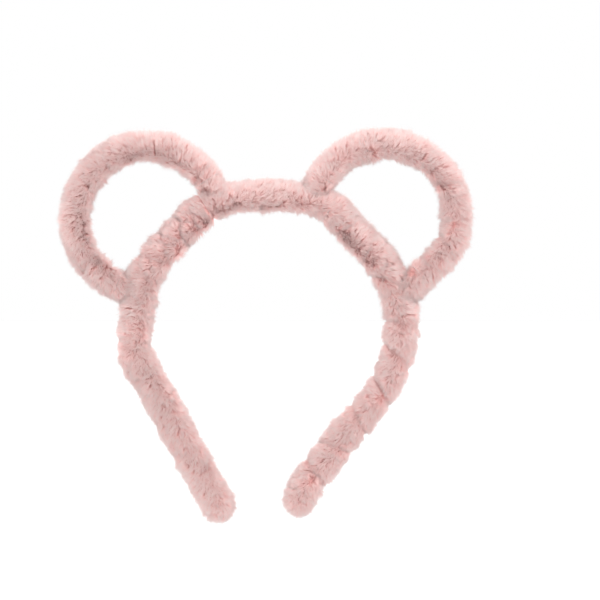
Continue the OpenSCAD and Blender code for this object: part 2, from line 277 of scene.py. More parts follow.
SLEEVES = [
    Sleeve("crown", BAND, -LEFT_SEAM, RIGHT_SEAM, 5.8, "crown_sleeve",
           parting=-75, nap=0.45, seed=11, pile=0.92),
    Sleeve("left_slope", BAND, -LEFT_PIVOT, -LEFT_SEAM, 6.6, "left_slope_sleeve",
           gathers=LEFT_SLOPE_GATHERS, parting=-70, nap=-0.5, seed=12),
    Sleeve("right_slope", BAND, RIGHT_SEAM, RIGHT_PIVOT, 6.5, "right_slope_sleeve",
           gathers=RIGHT_SLOPE_GATHERS, parting=-70, nap=0.4, seed=13),
    Sleeve("left_leg", BAND, -LEFT_TIP, -LEFT_PIVOT, 6.3, "left_leg_sleeve",
           gathers=LEFT_LEG_GATHERS, tip=-LEFT_TIP, parting=-50, nap=-0.75,
           body="left_leg", seed=14,
           spans=[("_upper", -LEFT_LEG_SPLIT, -LEFT_PIVOT),
                  ("_lower", -LEFT_TIP, -LEFT_LEG_SPLIT)]),
    Sleeve("right_leg", BAND, RIGHT_PIVOT, RIGHT_TIP, 6.3, "right_leg_sleeve",
           gathers=RIGHT_LEG_GATHERS, tip=RIGHT_TIP, parting=-10, nap=0.8,
           body="right_leg", seed=15,
           spans=[("_upper", RIGHT_PIVOT, RIGHT_LEG_SPLIT),
                  ("_lower", RIGHT_LEG_SPLIT, RIGHT_TIP)]),
    Sleeve("left_ear", LEFT_EAR_LINE, 0, LEFT_EAR_LINE.length, 5.35, "left_ear_sleeve",
           gathers=LEFT_EAR_GATHERS, parting=-80, nap=0.35, seed=16,
           spans=[("_upper", 0, LEFT_EAR_SPLIT),
                  ("_lower", LEFT_EAR_SPLIT, LEFT_EAR_LINE.length)]),
    Sleeve("right_ear_root", RIGHT_EAR_LINE, 0, RIGHT_EAR_MID_SEAM, 5.35,
           "right_ear_root_sleeve", parting=-75, nap=0.35, seed=17),
    Sleeve("right_ear", RIGHT_EAR_LINE, RIGHT_EAR_MID_SEAM, RIGHT_EAR_LINE.length, 5.35,
           "right_ear_sleeve", gathers=RIGHT_EAR_GATHERS, parting=-80, nap=0.35, seed=18,
           spans=[("_upper", RIGHT_EAR_MID_SEAM, RIGHT_EAR_SPLIT),
                  ("_lower", RIGHT_EAR_SPLIT, RIGHT_EAR_LINE.length)]),
]


# ---------------------------------------------------------------- meshes

def fresh_mesh(name, points, faces):
    """A mesh object from arrays: points (n, 3) in metres and triangles (m, 3)."""
    mesh = bpy.data.meshes.new(name)
    mesh.vertices.add(len(points))
    mesh.vertices.foreach_set("co", points.astype(np.float32).ravel())
    mesh.loops.add(faces.size)
    mesh.loops.foreach_set("vertex_index", faces.astype(np.int32).ravel())
    mesh.polygons.add(len(faces))
    mesh.polygons.foreach_set("loop_start", np.arange(len(faces), dtype=np.int32) * 3)
    mesh.polygons.foreach_set("use_smooth", np.full(len(faces), True))
    mesh.update(calc_edges=True)
    mesh.validate()
    obj = bpy.data.objects.new(name, mesh)
    bpy.context.scene.collection.objects.link(obj)
    return obj


def add_uv(obj, uv_by_vertex):
    mesh = obj.data
    layer = mesh.uv_layers.new(name=UV_NAME)
    index = np.empty(len(mesh.loops), np.int32)
    mesh.loops.foreach_get("vertex_index", index)
    layer.data.foreach_set("uv", uv_by_vertex[index].astype(np.float32).ravel())


def add_attribute(obj, name, values):
    layer = obj.data.attributes.new(name, "FLOAT", "POINT")
    layer.data.foreach_set("value", values.astype(np.float32))


def tube_faces(rows, around, flip):
    """Triangles of a closed tube: rows of points, joined round, with a fan on each end."""
    i, j = np.meshgrid(np.arange(rows - 1), np.arange(around), indexing="ij")
    a = i * around + j
    b = i * around + (j + 1) % around
    c, d = b + around, a + around
    sides = np.concatenate([np.stack([a, b, c], -1).reshape(-1, 3),
                            np.stack([a, c, d], -1).reshape(-1, 3)])
    j = np.arange(around)
    first, last = rows * around, rows * around + 1
    top = (rows - 1) * around
    low = np.stack([(j + 1) % around, j, np.full(around, first)], -1)
    high = np.stack([top + j, top + (j + 1) % around, np.full(around, last)], -1)
    faces = np.concatenate([sides, low, high])
    return faces[:, ::-1] if flip else faces


# ---------------------------------------------------------------- backings and pile

AROUND = 40               # points round a backing
ROW_STEP = 1.2            # millimetres from one row of points to the next
BAND_FLOOR = 5.6          # a gather can't draw the backing in past the foam
EAR_FLOOR = 5.12
FOAM_RADIUS, FOAM_CHANNEL = 0.0055, 0.0038      # of the foam tube on each leg, in metres
STRIP_WIDTH, STRIP_THICKNESS = 0.006, 0.0008    # of the spring steel strip
FOAM_SIDES, FOAM_PLACES, FOAM_ROUNDING = 32, 27, 0.0004
STRIP_PLACES, STRIP_ROUNDING, STRIP_SMOOTH = 61, 0.00015, math.radians(40)


class Backing:
    """The cloth of one sleeve as rows of points, which the pile is rooted on."""

    def __init__(self, sleeve):
        self.sleeve = sleeve
        first, last = sleeve.start, sleeve.end
        if sleeve.tip is not None:
            over = sleeve.radius * math.pi / 2
            if sleeve.tip < 0:
                first -= over
            else:
                last += over
        self.first, self.last = first, last
        rows = int((last - first) / ROW_STEP) + 1
        s = np.linspace(first, last, rows)
        angle = np.linspace(-math.pi, math.pi, AROUND, endpoint=False)
        ss, aa = (v.ravel() for v in np.meshgrid(s, angle, indexing="ij"))
        lowest = EAR_FLOOR if "ear" in sleeve.name else BAND_FLOOR
        self.grid = backing_points(sleeve, ss, aa, lowest).reshape(rows, AROUND, 3)
        centre, tangent, outward = sleeve.line.at(np.array([(first + last) / 2]))
        self.flip = float(np.cross(tangent[0], outward[0]) @ FRONT) < 0

    def at(self, s, angle):
        """Point, slope along, slope round and outward normal of the cloth."""
        rows, around, _ = self.grid.shape
        u = np.clip((s - self.first) / (self.last - self.first), 0, 1) * (rows - 1)
        v = ((angle + math.pi) / (2 * math.pi) % 1.0) * around
        i = np.clip(u.astype(int), 0, rows - 2)
        j = v.astype(int) % around
        fu, fv = (u - i)[:, None], (v - np.floor(v))[:, None]
        k = (j + 1) % around
        a, b = self.grid[i, j], self.grid[i + 1, j]
        c, d = self.grid[i, k], self.grid[i + 1, k]
        point = (a * (1 - fu) + b * fu) * (1 - fv) + (c * (1 - fu) + d * fu) * fv
        along = unit((b - a) * (1 - fv) + (d - c) * fv)
        round_ = (c - a) * (1 - fu) + (d - b) * fu
        width = np.linalg.norm(round_, axis=1)
        round_ = unit(round_)
        normal = unit(np.cross(along, round_)) * (-1 if self.flip else 1)
        return point, along, round_, normal, width

    def mesh(self):
        rows, around, _ = self.grid.shape
        ends = [self.grid[0].mean(0), self.grid[-1].mean(0)]
        points = np.concatenate([self.grid.reshape(-1, 3), ends])
        return points, tube_faces(rows, around, self.flip)


def unit(v):
    return v / np.maximum(np.linalg.norm(v, axis=1, keepdims=True), 1e-9)


STRAND_SIDES = 3
MOST_STRANDS = 48500      # in one piece of pile
SPARE = 1.15              # strands tried for each one kept where the cloth is narrow
ROOT_SINK = 0.25          # millimetres from a strand's root up to the cloth
# How much hair differs: turns and leans in radians, sizes as shares.
TUFT_LEAN_SPREAD, TUFT_SIZE_SPREAD = 0.12, 0.09
LOCK_LEAN_SPREAD, LOCK_SIZE_SPREAD = 0.09, 0.08
STRAND_TURN_SPREAD, STRAND_LEAN_SPREAD = 0.12, 0.12
STRAND_SIZES = (0.72, 1.08)
STRAND_WIDTHS = (0.75, 1.25)
LOCK_PULLS = (0.7, 1.2)
LEAN_LIMITS = (0.15, 1.35)
STRAY_LEAN = 0.55         # a stray's lean, as a share of its lock's
BRUSHED = 0.6             # how much less tufted the pile is where it faces up
CREASE_TRIM = 0.50        # how much shorter the pile is at the bottom of a crease
CREASE_LEAN = 0.35        # how far the pile leans into a crease
CREASE_PAINTED_SHADE = 1.2         # painted shade: how much darker the pile is coloured at the bottom of a crease
TUFT_TINT, LOCK_TINT, STRAND_TINT = 0.3, 0.4, 0.3
# Wandering of the pile's lie: each a seed, the size of its swirls in mm, and its strength.
PARTING_WANDER = (21, 30, 0.40)
NAP_WANDER = (22, 16, 0.28)
ROUND_WANDER = (23, 10, 0.15)
ROUND_FLOW, PARTING_SHARPNESS = 0.85, 1.4
# The bake map: a margin at its sides, and within a sector, a margin at top and bottom.
MAP_MARGIN, MAP_SECTORS, SECTOR_MARGIN, STRIP_HALF = 0.01, 24, 0.04, 0.003


def nearest_tufts(rng, s, angle, backing, apart):
    """For each strand, its tuft's number, and the place of every tuft."""
    first, last, radius = backing.first, backing.last, backing.sleeve.radius
    n_round = max(6, int(round(2 * math.pi * radius / apart)))
    n_long = int((last - first) / apart) + 3
    jitter = rng.uniform(0.05, 0.95, (n_long, n_round, 2))
    a = (s - first) / apart + 1
    b = (angle / (2 * math.pi) + 0.5) % 1.0 * n_round
    ia, ib = np.floor(a).astype(int), np.floor(b).astype(int)
    best = np.full(len(s), 1e9)
    number = np.zeros(len(s), int)
    for da in (-1, 0, 1):
        for db in (-1, 0, 1):
            ja = np.clip(ia + da, 0, n_long - 1)
            jb = (ib + db) % n_round
            off = jitter[ja, jb]
            away = (ja + off[:, 0] - a) ** 2 + ((ib + db) + off[:, 1] - b) ** 2
            closer = away < best
            best = np.where(closer, away, best)
            number = np.where(closer, ja * n_round + jb, number)
    ga, gb = np.meshgrid(np.arange(n_long), np.arange(n_round), indexing="ij")
    tuft_s = first + (ga + jitter[..., 0] - 1) * apart
    tuft_angle = ((gb + jitter[..., 1]) / n_round - 0.5) * 2 * math.pi
    return number, np.clip(tuft_s.ravel(), first, last), tuft_angle.ravel()


def wander(field, point):
    seed, size, strength = field
    return strength * waves(seed, point / MM, size)


def tip_of(backing, s, angle, turn, lean, size):
    """Where hair of the given turn, lean and length ends that is rooted at s and angle.

    It lies off the parting, along the nap and into the creases.
    """
    sleeve = backing.sleeve
    point, along, round_, normal, _ = backing.at(s, angle)
    depth, off_crease = crease_depth(sleeve, s, angle)
    size = size * (1 - CREASE_TRIM * np.clip(depth, 0, 1))
    lean = np.clip(lean, *LEAN_LIMITS)
    parting = math.radians(sleeve.parting) + wander(PARTING_WANDER, point)
    part = np.tanh(PARTING_SHARPNESS * np.sin(angle - parting))
    flow_round = ROUND_FLOW * part + wander(ROUND_WANDER, point)
    flow_along = sleeve.nap + wander(NAP_WANDER, point) - CREASE_LEAN * off_crease
    c, k = np.cos(turn), np.sin(turn)
    turned_round = flow_round * c - flow_along * k
    turned_along = flow_round * k + flow_along * c
    flow = unit(round_ * turned_round[:, None] + along * turned_along[:, None])
    way = unit(normal * np.cos(lean)[:, None] + flow * np.sin(lean)[:, None])
    return point + way * (size * MM)[:, None]


def cones(root, tip, width, rng):
    """Closed tapered strands, each of four points and four triangles."""
    count = len(root)
    side = unit(np.cross(tip - root, rng.normal(size=(count, 3))))
    other = unit(np.cross(tip - root, side))
    thick = width * 0.5 * rng.uniform(*STRAND_WIDTHS, count)
    corner = np.arange(STRAND_SIDES) * 2 * math.pi / STRAND_SIDES
    ring = (side[:, None] * np.cos(corner)[None, :, None]
            + other[:, None] * np.sin(corner)[None, :, None]) * thick[:, None, None]
    points = np.concatenate([root[:, None] + ring, tip[:, None]], 1)
    one = np.array([[0, 2, 1], [0, 1, 3], [1, 2, 3], [2, 0, 3]])
    each = STRAND_SIDES + 1
    faces = (one[None] + (np.arange(count) * each)[:, None, None]).reshape(-1, 3)
    return points.reshape(-1, 3), faces


def in_margin(u):
    return MAP_MARGIN + (1 - 2 * MAP_MARGIN) * u


def pile_roots(rng, backing, first, last, keep_out, density):
    """Lengths and angles at which strands are rooted, evenly over the cloth."""
    sleeve = backing.sleeve
    area = (last - first) * 2 * math.pi * sleeve.radius
    count = int(min(area * density, MOST_STRANDS) * SPARE)
    s = rng.uniform(first, last, count)
    angle = rng.uniform(-math.pi, math.pi, count)
    point, _, _, _, width = backing.at(s, angle)
    full = 2 * math.pi * sleeve.radius * MM / AROUND
    keep = rng.uniform(0, SPARE, count) < np.minimum(width / full, SPARE)
    for line, lowest, highest, radius in keep_out:
        centre, _, _ = line.at(np.arange(lowest, highest, 1.0))
        gap = ((point[:, None] - centre[None]) ** 2).sum(-1).min(1)
        keep &= gap > (radius * MM) ** 2
    return s[keep], angle[keep]


def grow_pile(backing, span, keep_out, settings):
    """Strands for one span of a sleeve: points, faces, heights, tones with painted crease
    shade, and map places.
    """
    sleeve = backing.sleeve
    _, first, last = span
    first = backing.first if first == sleeve.start else first
    last = backing.last if last == sleeve.end else last
    rng = np.random.default_rng(sleeve.seed * 1000 + int(abs(first)))
    s, angle = pile_roots(rng, backing, first, last, keep_out, settings.density)
    point, _, _, normal, _ = backing.at(s, angle)
    count = len(s)

    # Tufts first, then the locks within them, then each lock's strands.
    tuft, tuft_s, tuft_angle = nearest_tufts(rng, s, angle, backing,
                                             settings.tuft_spacing / MM)
    tufts = len(tuft_s)
    tuft_turn = rng.normal(0, settings.tuft_turn, tufts)
    tuft_lean = settings.lean + TUFT_LEAN_SPREAD * rng.normal(size=tufts)
    tuft_size = (settings.pile_length / MM * sleeve.pile
                 * rng.normal(1.0, TUFT_SIZE_SPREAD, tufts))
    tuft_tip = tip_of(backing, tuft_s, tuft_angle, tuft_turn, tuft_lean, tuft_size)

    lock, lock_s, lock_angle = nearest_tufts(rng, s, angle, backing,
                                             settings.lock_spacing / MM)
    locks = len(lock_s)
    lock_turn = rng.normal(0, settings.lock_turn, locks)
    lock_lean = LOCK_LEAN_SPREAD * rng.normal(size=locks)
    lock_size = rng.normal(1.0, LOCK_SIZE_SPREAD, locks)
    turn = tuft_turn[tuft] + lock_turn[lock]
    lean = tuft_lean[tuft] + lock_lean[lock]
    size = tuft_size[tuft] * lock_size[lock]
    lock_tip = tip_of(backing, lock_s[lock], lock_angle[lock], turn, lean, size)

    turn = turn + rng.normal(0, STRAND_TURN_SPREAD, count)
    lean = lean + rng.normal(0, STRAND_LEAN_SPREAD, count)
    size = size * rng.uniform(*STRAND_SIZES, count)
    stray = rng.uniform(size=count) < settings.strays
    lean = np.where(stray, lean * STRAY_LEAN, lean)
    tip = tip_of(backing, s, angle, turn, lean, size)
    # Brushed smooth on top and tufted below.
    tufted = 1 - BRUSHED * normal[:, 2]
    tip += (tuft_tip[tuft] - tip) * (settings.tuft_pull * tufted)[:, None]
    pull = settings.lock_pull * rng.uniform(*LOCK_PULLS, count) * ~stray
    tip += (lock_tip - tip) * pull[:, None]
    root = point - normal * (ROOT_SINK * MM)
    points, faces = cones(root, tip, settings.strand_width, rng)

    each = STRAND_SIDES + 1
    height = np.tile(np.array([0, 0, 0, 1.0]), count)
    depth, _ = crease_depth(sleeve, s, angle)
    own = (rng.uniform(-1, 1, tufts)[tuft] * TUFT_TINT
           + rng.uniform(-1, 1, locks)[lock] * LOCK_TINT
           + rng.uniform(-1, 1, count) * STRAND_TINT)
    # Each strand's tone: random for its tuft, lock and strand, less painted shade at the
    # bottom of a crease.
    tint = np.repeat(own - CREASE_PAINTED_SHADE * np.clip(depth, 0, 1), each)
    # Each strand has a narrow strip of the bake map: along it by length, across by sector
    # and height, so that neighbours share a strip and together leave no gap.
    u = np.repeat((s - backing.first) / (backing.last - backing.first), each)
    u = in_margin(u) + np.tile([-STRIP_HALF, STRIP_HALF, 0, 0], count)
    round_share = (np.repeat(angle, each) / (2 * math.pi) + 0.5) % 1.0
    sector = np.floor(round_share * MAP_SECTORS)
    v = (sector + SECTOR_MARGIN + (1 - 2 * SECTOR_MARGIN) * height) / MAP_SECTORS
    return points, faces, height, tint, np.stack([np.clip(u, 0, 1), v], -1)


# ---------------------------------------------------------------- materials

class Finish:
    """A node material under construction: a shader and the nodes that feed it."""

    def __init__(self, name, roughness, metallic=0.0):
        self.material = bpy.data.materials.new(name)
        self.material.use_nodes = True
        self.tree = self.material.node_tree
        self.shader = self.tree.nodes["Principled BSDF"]
        self.shader.inputs["Roughness"].default_value = roughness
        self.shader.inputs["Metallic"].default_value = metallic

    def node(self, kind, **values):
        made = self.tree.nodes.new(kind)
        for key, value in values.items():
            if key in made.inputs:
                made.inputs[key].default_value = value
            else:
                setattr(made, key, value)
        return made

    def link(self, source, target):
        self.tree.links.new(source, target)

    def place(self):
        return self.node("ShaderNodeTexCoord").outputs["Object"]

    def noise(self, scale, detail=3.0, rough=0.55):
        made = self.node("ShaderNodeTexNoise", Scale=scale, Detail=detail, Roughness=rough)
        self.link(self.place(), made.inputs["Vector"])
        return made.outputs["Fac"]

    def ramp(self, source, stops):
        made = self.node("ShaderNodeValToRGB")
        made.color_ramp.elements[0].position = stops[0][0]
        made.color_ramp.elements[0].color = (*stops[0][1], 1)
        made.color_ramp.elements[1].position = stops[-1][0]
        made.color_ramp.elements[1].color = (*stops[-1][1], 1)
        for position, colour in stops[1:-1]:
            made.color_ramp.elements.new(position).color = (*colour, 1)
        self.link(source, made.inputs["Fac"])
        return made.outputs["Color"]

    def mix(self, kind, factor, a, b):
        made = self.node("ShaderNodeMix", data_type="RGBA", blend_type=kind)
        if isinstance(factor, float):
            made.inputs[0].default_value = factor
        else:
            self.link(factor, made.inputs[0])
        for socket, value in ((made.inputs[6], a), (made.inputs[7], b)):
            if isinstance(value, tuple):
                socket.default_value = (*value, 1)
            else:
                self.link(value, socket)
        return made.outputs[2]

    def stretch_values(self, source, low, high, from_low=0.0, from_high=1.0):
        made = self.node("ShaderNodeMapRange")
        made.inputs["From Min"].default_value = from_low
        made.inputs["From Max"].default_value = from_high
        made.inputs["To Min"].default_value = low
        made.inputs["To Max"].default_value = high
        self.link(source, made.inputs["Value"])
        return made.outputs["Result"]

    def colour(self, source):
        self.link(source, self.shader.inputs["Base Color"])

    def bump(self, source, height, strength=0.6):
        made = self.node("ShaderNodeBump", Strength=strength, Distance=height)
        self.link(source, made.inputs["Height"])
        self.link(made.outputs["Normal"], self.shader.inputs["Normal"])

    def grey(self, source, low, high):
        """A socket's value as a grey that shades a colour."""
        made = self.node("ShaderNodeCombineColor")
        value = self.stretch_values(source, low, high)
        for name in ("Red", "Green", "Blue"):
            self.link(value, made.inputs[name])
        return made.outputs["Color"]


def dimmed(colour, share):
    return tuple(part * share for part in colour)


# A strand's tone, random and with painted crease shade, runs over this range, from deep to
# pale.
TINT_RANGE = (-2.2, 1.0)
DEEP_SHADE, PALE_SHADE = (0.84, 0.68, 0.67), (1.00, 1.05, 1.05)
PILE_BODY_HEIGHT = 0.45


def pile_finish(look):
    """Plush pile: deeper pink at its roots, partly as painted shade down in the pile, paler
    at its tips, each tuft a little its own, and darker in the creases as painted shade.
    """
    f = Finish("plush_pile", 0.86)
    height = f.node("ShaderNodeAttribute", attribute_name="height")
    tint = f.node("ShaderNodeAttribute", attribute_name="tint")
    # The pink deepens towards the roots, partly the pile's own colour and partly painted
    # shade down among the strands.
    stops = [(0.0, tuple(look.root_colour)), (PILE_BODY_HEIGHT, tuple(look.pile_colour)),
             (1.0, tuple(look.tip_colour))]
    colour = f.ramp(height.outputs["Fac"], stops)
    # Random tone, and painted shade in the creases, darken or lighten the ramp's pink.
    own = f.stretch_values(tint.outputs["Fac"], 0.0, 1.0, *TINT_RANGE)
    shade = f.ramp(own, [(0.0, DEEP_SHADE), (1.0, PALE_SHADE)])
    colour = f.mix("MULTIPLY", 1.0, colour, shade)
    slow = f.grey(f.noise(45.0, 2.0), 0.93, 1.05)
    colour = f.mix("MULTIPLY", 1.0, colour, slow)
    f.colour(colour)
    f.shader.inputs["Sheen Weight"].default_value = 0.03
    f.shader.inputs["Sheen Roughness"].default_value = 0.45
    f.shader.inputs["Specular IOR Level"].default_value = 0.12
    return f.material


def backing_finish(look):
    """Knitted backing cloth, with its wales along the tube."""
    f = Finish("plush_backing", 0.92)
    uv = f.node("ShaderNodeUVMap", uv_map=UV_NAME)
    knit = f.node("ShaderNodeTexWave", Scale=14.0, Distortion=1.5, Detail=1.0)
    knit.bands_direction = "Y"
    f.link(uv.outputs["UV"], knit.inputs["Vector"])
    colour = f.mix("MIX", knit.outputs["Fac"], dimmed(look.root_colour, 0.64),
                   dimmed(look.root_colour, 0.82))
    colour = f.mix("MULTIPLY", 1.0, colour, f.grey(f.noise(90.0), 0.85, 1.0))
    f.colour(colour)
    f.bump(knit.outputs["Fac"], 0.0002)
    f.shader.inputs["Sheen Weight"].default_value = 0.2
    return f.material


def foam_finish(look):
    """Open-cell foam, a warm white with small cells."""
    f = Finish("foam_sleeve", 0.95)
    cells = f.node("ShaderNodeTexVoronoi", Scale=1400.0)
    f.link(f.place(), cells.inputs["Vector"])
    f.colour(f.ramp(cells.outputs["Distance"], [(0.0, dimmed(look.foam_colour, 0.78)),
                                                (0.55, tuple(look.foam_colour))]))
    f.bump(cells.outputs["Distance"], 0.0003)
    return f.material


def steel_finish(name, tone):
    """Drawn or rolled steel, with fine lines and faint darker stains."""
    f = Finish(name, 0.34, 1.0)
    lines = f.noise(900.0, 4.0, 0.7)
    stains = f.noise(120.0, 3.0)
    lined = f.mix("MIX", lines, dimmed((0.44, 0.43, 0.43), tone),
                  dimmed((0.62, 0.61, 0.60), tone))
    f.colour(f.mix("MULTIPLY", 1.0, lined, f.grey(stains, 0.82, 1.0)))
    f.link(f.stretch_values(lines, 0.26, 0.46), f.shader.inputs["Roughness"])
    return f.material


def dark_plastic_finish(name, colour, roughness, scale):
    """Shrink tubing or moulded rubber, with a fine matt grain."""
    f = Finish(name, roughness)
    grain = f.noise(scale, 4.0)
    f.colour(f.mix("MIX", grain, dimmed(colour, 0.8), colour))
    f.bump(grain, 0.00012, 0.4)
    return f.material


def thread_and_fold_shade_finish(look):
    """Spun sewing thread, its twist running across the stitch, its pink dimmed as painted
    shade of the fold at a seam or gather.
    """
    f = Finish("sewing_thread", 0.7)
    twist = f.node("ShaderNodeTexWave", Scale=1500.0, Distortion=2.0)
    twist.bands_direction = "DIAGONAL"
    f.link(f.place(), twist.inputs["Vector"])
    # The thread is dimmed to 0.55 to 0.72 of the pile's pink: painted shade, so that a seam
    # or gather reads as a shaded fold.
    f.colour(f.mix("MIX", twist.outputs["Fac"], dimmed(look.pile_colour, 0.55),
                   dimmed(look.pile_colour, 0.72)))
    f.bump(twist.outputs["Fac"], 0.0001)
    f.shader.inputs["Sheen Weight"].default_value = 0.15
    return f.material


def once(name, make):
    """A finish that several pieces share is made once."""
    return bpy.data.materials.get(name) or make()


def finish_with(obj, material):
    obj.data.materials.clear()
    obj.data.materials.append(material)


# ---------------------------------------------------------------- sizes and colours

def length_value(name, description, default):
    return bpy.props.FloatProperty(name=name, description=description, default=default,
                                   unit="LENGTH", min=0.0, precision=5)


def turn_value(name, description, default):
    return bpy.props.FloatProperty(name=name, description=description,
                                   default=math.radians(default), subtype="ANGLE")


def share_value(name, description, default):
    return bpy.props.FloatProperty(name=name, description=description, default=default,
                                   subtype="FACTOR", min=0.0, max=1.0)


def colour_value(name, description, default):
    return bpy.props.FloatVectorProperty(name=name, description=description, default=default,
                                         size=3, subtype="COLOR", min=0.0, max=1.0)


class HEADBAND_PG_plush(bpy.types.PropertyGroup):
    """How the pile grows on the sleeves."""
    pile_length: length_value("Pile length", "Length of the hair from backing to tip",
                              0.0046)
    strand_width: length_value("Strand width", "Width of one strand at its root", 0.0003)
    density: bpy.props.FloatProperty(name="Density", default=16.0, min=0.1,
                                     description="Strands in a square millimetre")
    lean: turn_value("Lean", "How far the hair lies over from upright", 57)
    tuft_spacing: length_value("Tuft spacing", "From one tuft to the next", 0.0024)
    tuft_turn: turn_value("Tuft turn", "How far each tuft strays from the lie of the hair",
                          10)
    tuft_pull: share_value("Tuft pull", "How much a tuft's tips draw together", 0.12)
    lock_spacing: length_value("Lock spacing", "From one lock of hair to the next",
                               0.00085)
    lock_turn: turn_value("Lock turn", "How far each lock strays from its tuft", 7)
    lock_pull: share_value("Lock pull", "How much a lock's tips draw together", 0.14)
    strays: share_value("Strays", "Share of the strands that stand up out of their lock",
                        0.15)


class HEADBAND_PG_look(bpy.types.PropertyGroup):
    """The colours of the headband's materials."""
    # Partly painted shade down in the pile.
    root_colour: colour_value("Root colour", "Pile next to its backing",
                              (0.90, 0.46, 0.43))
    pile_colour: colour_value("Pile colour", "Pile half way up", (0.94, 0.64, 0.615))
    tip_colour: colour_value("Tip colour", "Ends of the pile", (0.900, 0.780, 0.760))
    foam_colour: colour_value("Foam colour", "Foam tube over the spring band",
                              (0.78, 0.76, 0.72))
    tubing_colour: colour_value("Tubing colour", "Shrink tubing over the wire ends",
                          (0.03, 0.03, 0.033))
    cap_colour: colour_value("Cap colour", "Rubber caps on the band's ends",
                             (0.10, 0.09, 0.09))


class HEADBAND_PG_stage(bpy.types.PropertyGroup):
    """Camera and light."""
    camera_distance: length_value("Camera distance", "From the lens to the headband", 1.5)
    focal_length: bpy.props.FloatProperty(name="Focal length", default=180.0, min=1.0,
                                          description="Focal length in millimetres")
    key_power: bpy.props.FloatProperty(name="Key power", default=3.0, min=0.0,
                                       description="Power of the soft key light in watts")
    floor_tone: share_value("Floor tone", "Brightness of the floor", 0.25)


# ---------------------------------------------------------------- sleeves and pile

BAND_INSIDE, EAR_INSIDE = 5.9, 5.0     # radii in mm within which no other sleeve's hair grows
PAST_PIVOT = 10                        # an ear's foot reaches this far down the leg


def keep_out_of(sleeve):
    """The tubes whose inside a sleeve grows no pile in."""
    if "ear" in sleeve.name:
        return [(BAND, -LEFT_PIVOT - PAST_PIVOT, RIGHT_PIVOT + PAST_PIVOT, BAND_INSIDE)]
    if "leg" in sleeve.name:
        return []
    return [(line, 0, line.length, EAR_INSIDE) for line in (LEFT_EAR_LINE, RIGHT_EAR_LINE)]


BACKINGS = {sleeve.name: Backing(sleeve) for sleeve in SLEEVES}


def join_body(obj, body):
    if body == "crown":
        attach(obj, "crown")
    else:
        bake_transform(obj)


def make_backing(sleeve, look):
    points, faces = BACKINGS[sleeve.name].mesh()
    obj = fresh_mesh(f"{sleeve.name}_backing", points, faces)
    rows = (len(points) - 2) // AROUND
    u = np.append(np.repeat(np.arange(rows) / (rows - 1), AROUND), [0, 1])
    v = np.append(np.tile(np.arange(AROUND) / AROUND, rows), [0, 0])
    add_uv(obj, np.stack([in_margin(u), in_margin(v)], -1))
    finish_with(obj, once("plush_backing", lambda: backing_finish(look)))
    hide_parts(sleeve.node)
    join_body(obj, sleeve.body)


def make_pile(sleeve, settings, look):
    for span in sleeve.spans:
        points, faces, height, tint, uv = grow_pile(BACKINGS[sleeve.name], span,
                                                    keep_out_of(sleeve), settings)
        obj = fresh_mesh(f"{sleeve.name}_pile{span[0]}", points, faces)
        add_attribute(obj, "height", height)
        add_attribute(obj, "tint", tint)
        add_uv(obj, uv)
        finish_with(obj, once("plush_pile", lambda: pile_finish(look)))
        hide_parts(sleeve.node)
        join_body(obj, sleeve.body)


# ---------------------------------------------------------------- foam and steel

def deselect():
    bpy.ops.object.select_all(action="DESELECT")


def apply_modifier(obj, kind, **values):
    modifier = obj.modifiers.new(kind.lower(), kind)
    for key, value in values.items():
        setattr(modifier, key, value)
    bpy.ops.object.modifier_apply(modifier=modifier.name)


LEAST_TURN = 1e-6         # radians; a straight run needs no turn


def extrude_along(obj, line, places):
    """Extrudes a profile that stands at the first place along a line, turning as it goes."""
    centre, tangent, _ = line.at(places)
    bpy.ops.object.transform_apply(location=True, rotation=True, scale=True)
    bpy.ops.object.mode_set(mode="EDIT")
    bpy.ops.mesh.select_all(action="SELECT")
    for i in range(1, len(places)):
        step = tuple(centre[i] - centre[i - 1])
        bpy.ops.mesh.extrude_region_move(TRANSFORM_OT_translate={"value": step})
        turned = math.asin(np.cross(tangent[i - 1], tangent[i])[1])
        if abs(turned) > LEAST_TURN:
            # With no window this operator turns the other way.
            bpy.ops.transform.rotate(value=-turned, orient_axis="Y",
                                     center_override=tuple(centre[i]))
    bpy.ops.mesh.select_all(action="SELECT")
    bpy.ops.mesh.normals_make_consistent(inside=False)
    bpy.ops.object.mode_set(mode="OBJECT")
    foremost = min(obj.data.polygons, key=lambda face: face.center.y)
    if foremost.normal.y > 0:
        bpy.ops.object.mode_set(mode="EDIT")
        bpy.ops.mesh.flip_normals()
        bpy.ops.object.mode_set(mode="OBJECT")


def facing(tangent):
    return Vector(tangent).to_track_quat("Z", "Y").to_euler()


def make_leg_foam(side, start, end, look):
    """A foam tube on one leg, open through its middle where the spring band lies."""
    places = np.linspace(start, end, FOAM_PLACES)
    centre, tangent, _ = BAND.at(places[:1])
    deselect()
    bpy.ops.mesh.primitive_circle_add(vertices=FOAM_SIDES, radius=FOAM_RADIUS,
                                      fill_type="NOTHING", location=centre[0],
                                      rotation=facing(tangent[0]))
    obj = bpy.context.object
    obj.name = f"{side}_leg_foam_tube"
    extrude_along(obj, BAND, places)
    apply_modifier(obj, "SOLIDIFY", thickness=FOAM_RADIUS - FOAM_CHANNEL, offset=-1)
    apply_modifier(obj, "BEVEL", width=FOAM_ROUNDING, segments=2, limit_method="ANGLE")
    finish_with(obj, once("foam_sleeve", lambda: foam_finish(look)))
    deselect()
    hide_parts(f"{side}_leg_foam")
    join_body(obj, f"{side}_leg")


